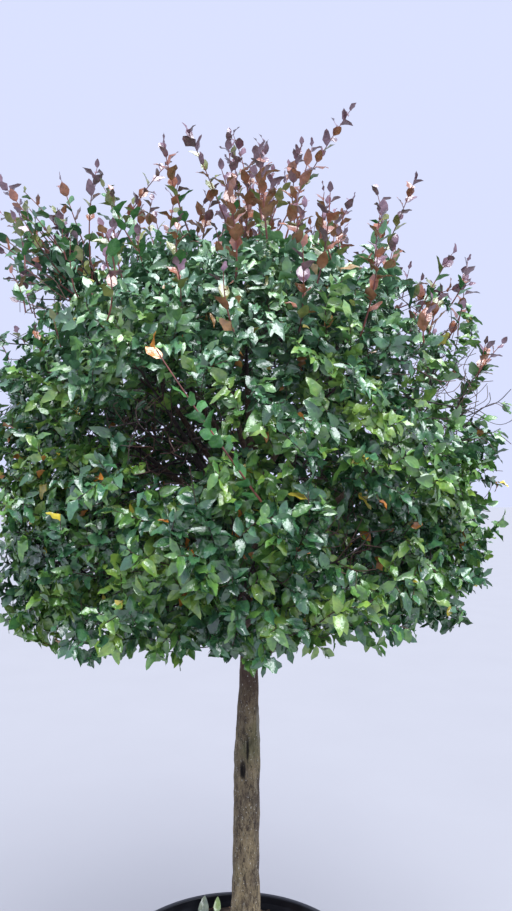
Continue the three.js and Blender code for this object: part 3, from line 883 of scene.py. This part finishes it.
def mass_wood(number):
    """One mass's stem and first twigs, with the solids' own draws, and then its finer twigs."""
    mass = masses[number]
    draw = seeded(TWIG_SEED + number)
    random = np.random.default_rng(TIP_SEED + number)
    foot = bezier(mass["curve"], [1])[0]
    heading = unit(foot - bezier(mass["curve"], [0.999])[0])
    outward = unit(mass["heart"] - HEAD_MIDDLE)
    stem_tip = mass["heart"] + outward * STEM_BEYOND * reach(number, outward, LEAF_MARGIN)
    stem = [foot, foot + heading * np.linalg.norm(stem_tip - foot) * 0.5, stem_tip]
    mass["stem"] = stem
    growth = Wood(foot, heading)
    growth.add_line(bezier(stem, np.arange(1, STEM_STEPS + 1) / STEM_STEPS), 0)
    sideways = unit(np.cross(outward, UP))
    across = unit(np.cross(outward, sideways))
    for i in range(TWIG["count"]):
        facing = 1 - (1 - TWIG["back"]) * (i + 0.5) / TWIG["count"]
        spread = math.sqrt(1 - facing * facing)
        turn = i * GOLDEN_TURN + draw()
        direction = unit(
            outward * facing
            + sideways * spread * math.cos(turn)
            + across * spread * math.sin(turn)
            + UP * TWIG["rise"]
        )
        share = TWIG["from"] + TWIG["spread"] * draw()
        start = bezier(stem, [share])[0]
        end = mass["heart"] + direction * (reach(number, direction, LEAF_MARGIN) - TWIG["room"])
        length = np.linalg.norm(end - start)
        line = start + (end - start) * np.array(TWIG_TESTS)[:, None]
        if length < SOLID_LEAF["length"] or not free(line, number, TWIG_FOOT + LEAF_MARGIN).all():
            continue
        # The leaves on the solids' twig take these draws.
        leaves = math.ceil(length * (1 - SOLID_LEAF["start"]) / SOLID_LEAF["pitch"])
        for _ in range(1 + 2 * leaves):
            draw()
        steps = max(2, round(length / FINE["step"]))
        joint = round(share * STEM_STEPS)
        growth.add_line(start + (end - start) * (np.arange(1, steps + 1) / steps)[:, None], joint)
    for target in thrown_tips(number, random):
        grow_to(growth, target)
    return growth


growths = [mass_wood(number) for number in range(len(masses))]
FINEST_RADIUS = 0.0010
YOUNG_RADIUS = 0.0021
PIPE_POWER = 2.4


def chains(growth):
    """Splits a mass's wood into unbroken lengths, each with its radii and its way to the tips."""
    n = growth.count
    area = np.full(n, FINEST_RADIUS**PIPE_POWER)
    above = np.zeros(n)
    main = np.full(n, -1)
    for i in range(n - 1, 0, -1):
        parent = growth.parent[i]
        edge = np.linalg.norm(growth.place[i] - growth.place[parent])
        if main[parent] < 0:
            area[parent] = 0
        if main[parent] < 0 or area[i] > area[main[parent]]:
            main[parent] = i
        area[parent] += area[i]
        above[parent] = max(above[parent], above[i] + edge)
    girth = area ** (1 / PIPE_POWER)
    found = []
    for i in range(n):
        parent = growth.parent[i]
        if parent >= 0 and main[parent] == i:
            continue
        line = [i]
        while main[line[-1]] >= 0:
            line.append(main[line[-1]])
        start = [parent] if parent >= 0 else []
        radii = np.concatenate([girth[[i]][: len(start)], girth[line]])
        found.append((growth.place[start + line], radii, np.concatenate([above[start], above[line]])))
    return found


def rounded(line, radii, above, parts=3):
    """A smooth line through every joint of a length of wood."""
    before = np.vstack([line[:1] * 2 - line[1:2], line[:-2]])
    after = np.vstack([line[2:], line[-1:] * 2 - line[-2:-1]])
    shares = np.arange(1, parts + 1) / parts
    t = shares[:, None]
    spans = [
        0.5 * (2 * b + (c - a) * t + (2 * a - 5 * b + 4 * c - d) * t**2 + (3 * b - a - 3 * c + d) * t**3)
        for a, b, c, d in zip(before, line[:-1], line[1:], after)
    ]
    knots = np.arange(len(line))
    fine = np.concatenate([[0], (knots[:-1, None] + shares).ravel()])
    return np.vstack([line[:1], *spans]), np.interp(fine, knots, radii), np.interp(fine, knots, above)


old_lines, young_lines, lengths = [], [], []
for number, growth in enumerate(growths):
    for line, radii, above in chains(growth):
        if len(line) > 1:
            lengths.append((number, *rounded(line, radii, above)))
            (old_lines if radii.max() > YOUNG_RADIUS else young_lines).append(lengths[-1][1:3])

old_bark = Finish("old_twig_bark")
OLD_BARK = old_bark.surface(
    Base_Color=old_bark.ramp(old_bark.noise(70, 4), (0.35, "211a1b"), (0.65, "463b38")),
    Roughness=0.75,
    Normal=old_bark.bump(old_bark.noise(300), 0.0008),
)


def smooth_bark(name, scale, dark, light, roughness):
    """The thin bark of young wood, in patches of two browns."""
    skin = Finish(name)
    browns = skin.ramp(skin.noise(scale), (0.35, dark), (0.65, light))
    return skin.surface(Base_Color=browns, Roughness=roughness)


YOUNG_BARK = smooth_bark("young_twig_bark", 12, "3a2826", "5c4339", 0.55)
fitted(wood("old_twigs", old_lines, OLD_BARK, sides=5), "bark", *MASS_NODES)
fitted(wood("young_twigs", young_lines, YOUNG_BARK, sides=3), "bark", *MASS_NODES)


# The leaves: small, leathery and glossy, pointed ovals set alternately along the newest wood and
# turned to the light. Neighbours share one of a few greens, and a few old leaves have turned.
LEAF_LENGTH = 0.0370
LEAF_WIDTH = 0.56
LEAF_PITCH = 0.0056
LEAFY_WOOD = 0.20
SPRAY_LEAF_PITCH = 0.0125
SPRAY_LEAFY_WOOD = 0.50
# How far along a leaf each row of points lies, and half the width there, as shares.
BLADE_ROWS = [(0.14, 0.29), (0.38, 0.5), (0.65, 0.43), (0.87, 0.21)]
# How steeply each kind of leaf is folded, how far it droops, and how much it twists and waves.
BLADE_FORMS = [
    (0.50, 0.14, 0.0, 0.25),
    (0.35, 0.42, 0.35, -0.30),
    (0.22, -0.14, -0.35, 0.35),
    (0.75, 0.28, 0.50, -0.20),
    (-0.25, 0.34, -0.55, 0.30),
    (0.45, 0.60, 0.15, -0.40),
]


def blade(name, fold, droop, twist, wave):
    """One leaf of unit length along Y, face up: folded at its midrib, bent, twisted and wavy."""
    places = [(0, 0, 0)]
    for row, (run, half) in enumerate(BLADE_ROWS):
        half *= LEAF_WIDTH
        for side in (-1, 0, 1):
            lift = half * (fold * abs(side) + twist * run * side + wave * (-1) ** row * side)
            places.append((side * half, run, lift - droop * run * run))
    places.append((0, 1, -droop))
    faces = [(0, 2, 1), (0, 3, 2)]
    last = 1 + (len(BLADE_ROWS) - 1) * 3
    for low in range(1, last, 3):
        faces += [(low, low + 1, low + 4, low + 3), (low + 1, low + 2, low + 5, low + 4)]
    faces += [(last, last + 1, last + 3), (last + 1, last + 2, last + 3)]
    return mesh_object(name, places, faces)


leafing = Build("leaves_on_wood", Blades="Collection")
kinds = {"Collection": leafing.given("Blades"), "Separate Children": True, "Reset Children": True}
axes = {
    "Primary Axis": leafing.attribute("along", "FLOAT_VECTOR"),
    "Secondary Axis": leafing.attribute("face", "FLOAT_VECTOR"),
}
pose = leafing.node("FunctionNodeAxesToRotation", axes, primary_axis="Y", secondary_axis="Z")
setting = {
    "Points": leafing.given("Geometry"),
    "Instance": leafing.node("GeometryNodeCollectionInfo", kinds),
    "Pick Instance": True,
    "Instance Index": leafing.attribute("form", "INT"),
    "Rotation": pose,
    "Scale": leafing.attribute("size", "FLOAT_VECTOR"),
}
set_leaves = leafing.node("GeometryNodeInstanceOnPoints", setting)
LEAFING = leafing.end(set_leaves)
BLADES = gathered("blades", *[blade(f"blade_{i}", *form) for i, form in enumerate(BLADE_FORMS)])


def leaf_pieces(prefix, sprays, tints, slot, random, painted_light_aloft=None):
    """One piece for each tint, in its own glossy skin, with painted light that makes leaves paler higher up
    if a colour is given. Each spray gives the roots, directions, upper sides, sizes and tints of its
    leaves."""
    roots, along, face, size, dealt = [np.concatenate(values) for values in zip(*sprays)]
    forms = random.integers(0, len(BLADE_FORMS), len(roots))
    for number, (tint, (bright, dull)) in enumerate(tints.items()):
        chosen = dealt == number
        piece = mesh_object(f"{prefix}_{tint}", roots[chosen] + TREE_FOOT, [])
        for label, values in (("along", along), ("face", face), ("size", size)):
            keep_values(piece, label, "FLOAT_VECTOR", values[chosen])
        keep_values(piece, "form", "INT", forms[chosen])
        leaf = Finish(f"{prefix}_{tint}")
        ground = leaf.blend(leaf.step(leaf.noise(55), 0.35, 0.65), shade(dull), shade(bright))
        # Painted light: leaves blend towards a pale, bluish colour higher in the head, as if lit more from
        # above.
        if painted_light_aloft:
            ground = leaf.blend(leaf.step(leaf.height(), 1.8, 2.7) * 0.5, ground, shade(painted_light_aloft))
        skin = leaf.surface(
            Base_Color=ground,
            Roughness=0.22,
            Specular_IOR_Level=1.0,
            Coat_Weight=0.3,
            Coat_Roughness=0.08,
            Normal=leaf.bump(leaf.noise(110, 2), 0.002),
        )
        fitted(worked(piece, LEAFING, Blades=BLADES, Material=skin), slot, *MASS_NODES)


TINTS = {
    "deep_green": ("426b3a", "2c4e34"),
    "blue_green": ("507f50", "3a6247"),
    "green": ("679243", "4b733c"),
    "fresh_green": ("88a848", "668d42"),
    "yellow": ("d8c040", "b3a848"),
    "orange": ("c9853a", "a96a35"),
}
TINT_BOUNDS = (0.30, 0.52, 0.82)
YELLOW, ORANGE = 4, 5
YELLOW_SHARE, ORANGE_SHARE = 0.008, 0.009
LEAF_SIZES = (0.62, 1.24)
LEAF_SPLAY = (35, 75)
END_SPLAY = 12
LEAF_SAG = (-0.25, 0.38)
LEAFLESS_FOOT = 0.012
LEAFY_SHELL = 0.55
LEAN_OUT, LEAN_UP, LEAF_OUTWARD = 0.9, 0.8, 0.15
# How far leaves stray from even ones, and how wide and how deeply curled they are for their length.
STRAY = {"lean": 0.28, "along": 0.24, "face": 0.5, "tint": 0.13}
LEAF_WIDTHS, LEAF_CURLS = (0.85, 1.1), (0.5, 1.6)
# How fresh the green of a twig's leaves is, from its clump and from chance.
FRESHNESS = {"least": -0.1, "clump": 0.45, "chance": 0.75}
# Where the head is loose enough for the sky to show, and the share of twigs that have leaves there.
LOOSE = np.array(
    [
        [0.610, -0.140, 1.730, 0.320],
        [0.600, 0.290, 1.760, 0.300],
        [0.545, -0.380, 1.700, 0.215],
        [0.660, -0.050, 1.950, 0.190],
        [0.690, -0.060, 1.420, 0.140],
        [-0.640, -0.080, 2.040, 0.320],
    ]
)
LOOSE_SHARE = 0.25


def along_line(values, knots, stations):
    """A value of a line's points, such as their places, as it is at stations along the line."""
    return np.column_stack([np.interp(stations, knots, values[:, k]) for k in range(3)])


random = np.random.default_rng(77)
head_leaves = []
for number, line, radii, above in lengths:
    airy = masses[number]["name"] == "left_spray"
    spans = np.linalg.norm(np.diff(line, axis=0), axis=1)
    run = np.concatenate([[0], np.cumsum(spans)])
    stations = np.arange(run[-1], LEAFLESS_FOOT, -(SPRAY_LEAF_PITCH if airy else LEAF_PITCH))
    count = len(stations)
    at = along_line(line, run, stations)
    tangent = unit(along_line(np.diff(line, axis=0) / spans[:, None], run[1:] - spans / 2, stations))
    to_tip = np.interp(stations, run, above)
    outward = unit(at - HEAD_MIDDLE)
    lean = unit(outward * LEAN_OUT + UP * LEAN_UP + random.normal(0, STRAY["lean"], (count, 3)))
    side = unit(np.cross(tangent, lean))
    handed = np.where(np.arange(count) % 2, 1, -1) * (1 if random.random() < 0.5 else -1)
    splay = np.radians(random.uniform(*LEAF_SPLAY, count))
    splay[:1] = np.radians(END_SPLAY)
    along = tangent * np.cos(splay)[:, None] + side * (handed * np.sin(splay))[:, None]
    sag = UP * random.uniform(*LEAF_SAG, count)[:, None]
    along = unit(along + random.normal(0, STRAY["along"], (count, 3)) - sag + outward * LEAF_OUTWARD)
    face = unit(lean + random.normal(0, STRAY["face"], (count, 3)))
    length = LEAF_LENGTH * random.uniform(*LEAF_SIZES, count)
    keep = (to_tip < (SPRAY_LEAFY_WOOD if airy else LEAFY_WOOD)) & (head_share(at) > LEAFY_SHELL)
    for share in (0.5, 1):
        keep &= free(at + along * (length * share)[:, None], number, 0.001, clear=CLEAR_OF_LEAVES)
    loose = (np.linalg.norm(LOOSE[:, :3] - line[-1], axis=1) < LOOSE[:, 3]).any()
    if loose and random.random() > LOOSE_SHARE:
        continue
    clump, chance = clumps(line[-1:] * 0.8)[0], random.random()
    fresh = FRESHNESS["clump"] * clump + FRESHNESS["chance"] * chance + FRESHNESS["least"]
    tint = np.searchsorted(TINT_BOUNDS, fresh + random.normal(0, STRAY["tint"], count))
    odd = random.random(count)
    tint[odd < YELLOW_SHARE] = YELLOW
    tint[odd > 1 - ORANGE_SHARE] = ORANGE
    wide = length * random.uniform(*LEAF_WIDTHS, count)
    size = np.column_stack([wide, length, length * random.uniform(*LEAF_CURLS, count)])
    head_leaves.append([values[keep] for values in (at, along, face, size, tint)])
leaf_pieces("leaves", head_leaves, TINTS, "foliage", random, painted_light_aloft="8db896")


# The young shoots: this year's straight, red-brown growth, which stands up out of the head with
# smaller, upright leaves that are still bronze. The tallest end where the solids' shoots do.
SHOOT_TIPS = [
    (-0.161, -0.200, 2.404),
    (-0.044, -0.150, 2.418),
    (0.305, -0.100, 2.520),
    (-0.220, -0.200, 2.300),
    (0.162, -0.050, 2.428),
    (0.491, -0.100, 2.311),
    (0.622, -0.150, 1.983),
    (-0.753, 0, 2.362),
    (-0.552, -0.050, 2.229),
    (-0.432, -0.100, 2.347),
    (-0.090, 0.260, 2.390),
    (0.250, 0.300, 2.330),
    (-0.380, 0.330, 2.200),
    (-0.140, 0.650, 2.040),
]
SHOOT_FROM = 0.8
SHOOT_BOW = 0.026
SHOOT_GIRTH = (0.0028, 0.0010)
SHOOT_LEAF = 0.040
SHOOT_LEAF_PITCH = 0.0190
SHOOT_SPLAY = (22, 48)
SHOOT_END_SPLAY = 6
SHOOT_LEAF_SIZES = (0.85, 1.15)
SHOOT_LEAF_WIDTHS, SHOOT_LEAF_CURLS = (0.95, 1.25), (0.5, 1.2)
# Leaves within this reach of a shoot's tip are smaller, and the one on the tip is the smallest.
SMALLER_WITHIN, SMALLEST, GAIN = 0.06, 0.62, 0.45
SHOOT_TINTS = {
    "dark_green": ("47704f", "345a42"),
    "green": ("558a4c", "427444"),
    "olive": ("8f9150", "717c44"),
    "copper": ("ad7054", "8a5742"),
    "bronze": ("8a6a76", "6a4c58"),
    "orange": ("dc9440", "bf7834"),
}
# The left spray is many long shoots, mostly green.
SPRAY_BRANCHES = 42
SPRAY_BRANCH_LENGTHS = (0.24, 0.52)
SPRAY_BRANCH_GIRTH = (0.0034, 0.0011)
SPRAY_BRANCH_PITCH = 0.0225
SPRAY_REACH = 1.48
SPRAY_END = -0.785
SPRAY_TURNS = (0.74, 0.88, 0.93, 0.97)
# Shorter shoots stand all over the crown, further apart and leaning out towards its edge.
MORE_SHOOTS = 190
CROWN = {"share": 0.84, "above": 0.12, "opening": 1.3, "lean": 0.42, "stray": 0.14, "bow": 0.05}
SHOOT_SPACING = 0.052
SHOOT_LENGTHS = (0.09, 0.30)
# One bare-tipped sprig leans across the hollow in the head's front, with two orange leaves.
FRONT_SPRIG = {
    "foot": (0.085, -0.620, 1.320),
    "tip": (-0.160, -0.715, 1.668),
    "bow": (0.004, -0.035, -0.012),
}
SPRIG_GIRTH = (0.0026, 0.0012)
SPRIG_GREEN, SPRIG_ORANGE = 1, 5


def bowed(foot, tip, bow, steps=12):
    """A curve from a foot to a tip whose middle is moved aside by bow."""
    foot, tip = np.asarray(foot, float), np.asarray(tip, float)
    return bezier([foot, (foot + tip) / 2 + 2 * np.asarray(bow, float), tip], np.linspace(0, 1, steps))


def turns(green_share):
    """How far up a shoot of the crown its leaves turn from each tint to the next one."""
    return -1, green_share - 0.2, green_share, max(0.74, green_share + 0.04)


def shoot_leaves(line, first, tint_turns, random, last=1.0, pitch=SHOOT_LEAF_PITCH):
    """Upright leaves round a shoot from one share of it to another, smaller towards its tip."""
    length = np.linalg.norm(line[-1] - line[0])
    stations = np.arange(last * length, first * length, -pitch) / length
    count = len(stations)
    at = along_line(line, np.linspace(0, 1, len(line)), stations)
    stem = unit(line[-1] - line[0])
    sideways = unit(np.cross(stem, (0.3, 1, 0.2)))
    across = np.cross(stem, sideways)
    turn = random.random() * 2 * math.pi + np.arange(count) * GOLDEN_TURN
    splay = np.radians(random.uniform(*SHOOT_SPLAY, count))
    splay[:1] = np.radians(SHOOT_END_SPLAY)
    away = sideways * np.cos(turn)[:, None] + across * np.sin(turn)[:, None]
    along = unit(stem * np.cos(splay)[:, None] + away * np.sin(splay)[:, None])
    upper_side = stem * np.sin(splay)[:, None] - away * np.cos(splay)[:, None]
    face = unit(upper_side + random.normal(0, 0.2, (count, 3)))
    from_tip = np.clip((1 - stations) * length / SMALLER_WITHIN, 0, 1)
    long = SHOOT_LEAF * (SMALLEST + GAIN * from_tip) * random.uniform(*SHOOT_LEAF_SIZES, count)
    wide = long * random.uniform(*SHOOT_LEAF_WIDTHS, count)
    tint = np.searchsorted(tint_turns, stations + random.normal(0, STRAY["tint"], count))
    size = np.column_stack([wide, long, long * random.uniform(*SHOOT_LEAF_CURLS, count)])
    return at, along, face, size, tint


random = np.random.default_rng(29)
shoot_lines, young_leaves = [], []


def add_shoot(line, first, tint_turns, girth=SHOOT_GIRTH, pitch=SHOOT_LEAF_PITCH):
    shoot_lines.append((line, np.linspace(*girth, len(line))))
    young_leaves.append(shoot_leaves(line, first, tint_turns, random, pitch=pitch))


for tip in SHOOT_TIPS:
    number = int(np.argmin(np.linalg.norm(HEARTS - tip, axis=1)))
    foot = bezier(masses[number]["stem"], [SHOOT_FROM])[0]
    add_shoot(bowed(foot, tip, unit(HEARTS[number] - HEAD_MIDDLE) * SHOOT_BOW, 24), 0.5, turns(0.62))

spray_stem = masses[MASS_NODES.index("foliage_left_spray")]["stem"]
for _ in range(SPRAY_BRANCHES):
    foot = bezier(spray_stem, [random.uniform(0.35, 1)])[0]
    way = unit([-random.uniform(0.35, 1.1), random.normal(-0.05, 0.22), random.uniform(0.25, 1)])
    length = random.uniform(*SPRAY_BRANCH_LENGTHS)
    line = bowed(foot, foot + way * length, random.normal(0, 0.012, 3), 20)
    if head_share(line[-1:])[0] < SPRAY_REACH and line[-1][0] > SPRAY_END:
        add_shoot(line, 0.1, SPRAY_TURNS, SPRAY_BRANCH_GIRTH, SPRAY_BRANCH_PITCH)

outer = []
for number, growth in enumerate(growths):
    places = growth.place[: growth.count]
    share = head_share(places) / masses[number]["bulge"]
    outer.append(places[(share > CROWN["share"]) & (places[:, 2] > HEAD_MIDDLE[2] + CROWN["above"])])
feet = np.zeros((0, 3))
for foot in random.permutation(np.vstack(outer)):
    from_axis = np.hypot(*(foot - HEAD_MIDDLE)[:2]) / HEAD_RADIUS
    apart = np.linalg.norm(feet - foot, axis=1).min(initial=1)
    if len(feet) == MORE_SHOOTS or apart < SHOOT_SPACING * (1 + CROWN["opening"] * from_axis):
        continue
    feet = np.vstack([feet, foot])
    aside = unit((foot - HEAD_MIDDLE) * (1, 1, 0)) * CROWN["lean"] * from_axis
    heading = unit(UP + aside + random.normal(0, CROWN["stray"], 3))
    least, most = SHOOT_LENGTHS
    length = (least + (most - least) * random.random() ** 1.4) * (1.12 - 0.5 * from_axis)
    bow = random.normal(0, CROWN["bow"], 3) * length
    girth = (0.0016 + 0.004 * length, 0.0009)
    # The shoots at the left are the greenest, and those in the middle the reddest.
    green_share = random.uniform(0.1, 0.75) + (0.35 if foot[0] < -0.2 else -0.2 if foot[0] < 0.35 else 0)
    add_shoot(bowed(foot, foot + heading * length, bow), 0.12, turns(green_share), girth)

sprig = bowed(**FRONT_SPRIG, steps=20)
shoot_lines.append((sprig, np.linspace(*SPRIG_GIRTH, len(sprig))))
for first, last, larger, tint in ((0.05, 0.76, 1, SPRIG_GREEN), (0.94, 1, 1.25, SPRIG_ORANGE)):
    at, along, face, size, tints = shoot_leaves(sprig, first, SPRAY_TURNS, random, last)
    young_leaves.append([at, along, face, size * larger, 0 * tints + tint])

SHOOT_BARK = smooth_bark("young_shoot_bark", 14, "5f3836", "8f5348", 0.5)
fitted(wood("young_shoots", shoot_lines, SHOOT_BARK, sides=5), "bark", *MASS_NODES)
leaf_pieces("young_leaves", young_leaves, SHOOT_TINTS, "young_foliage", random)


# The fallen leaves: old camellia leaves lying on the compost, two of them caught upright against
# the pot's far wall.
FALLEN_TINTS = {
    "brown": ("7a5436", "5c3f2b"),
    "faded": ("8f9a78", "76826a"),
    "pale_green": ("a9bd7c", "8fa868"),
}
FALLEN = 26
FALLEN_WITHIN = 0.37
FALLEN_LENGTHS = (0.030, 0.052)
# Where each upright leaf stands, its tint and its length.
UPRIGHT = [((-0.118, 0.318), 1, 0.062), ((-0.072, 0.330), 2, 0.044)]
random = np.random.default_rng(41)
fallen = []


def lay(spot, above, along, face, length, tint):
    """Lays one leaf on the compost, with its root a little above or below it."""
    root = np.array([*spot, soil_level(*spot) + above]) - TREE_FOOT
    fallen.append([[root], [unit(along)], [unit(face)], [[length] * 3], [tint]])


for _ in range(FALLEN):
    turn, away = random.uniform(0, 2 * math.pi), FALLEN_WITHIN * math.sqrt(random.uniform(0.09, 1))
    spot = np.array([away * math.cos(turn), away * math.sin(turn)])
    along, face = [*random.normal(0, 1, 2), 0.03], UP + random.normal(0, 0.2, 3)
    lay(spot, 0.006, along, face, random.uniform(*FALLEN_LENGTHS), random.integers(0, 2))
for spot, tint, length in UPRIGHT:
    lay(spot, -0.004, [0.15, 0.35, 1], [0.1, -1, 0.3], length, tint)
leaf_pieces("fallen_leaves", fallen, FALLEN_TINTS, "foliage", random)
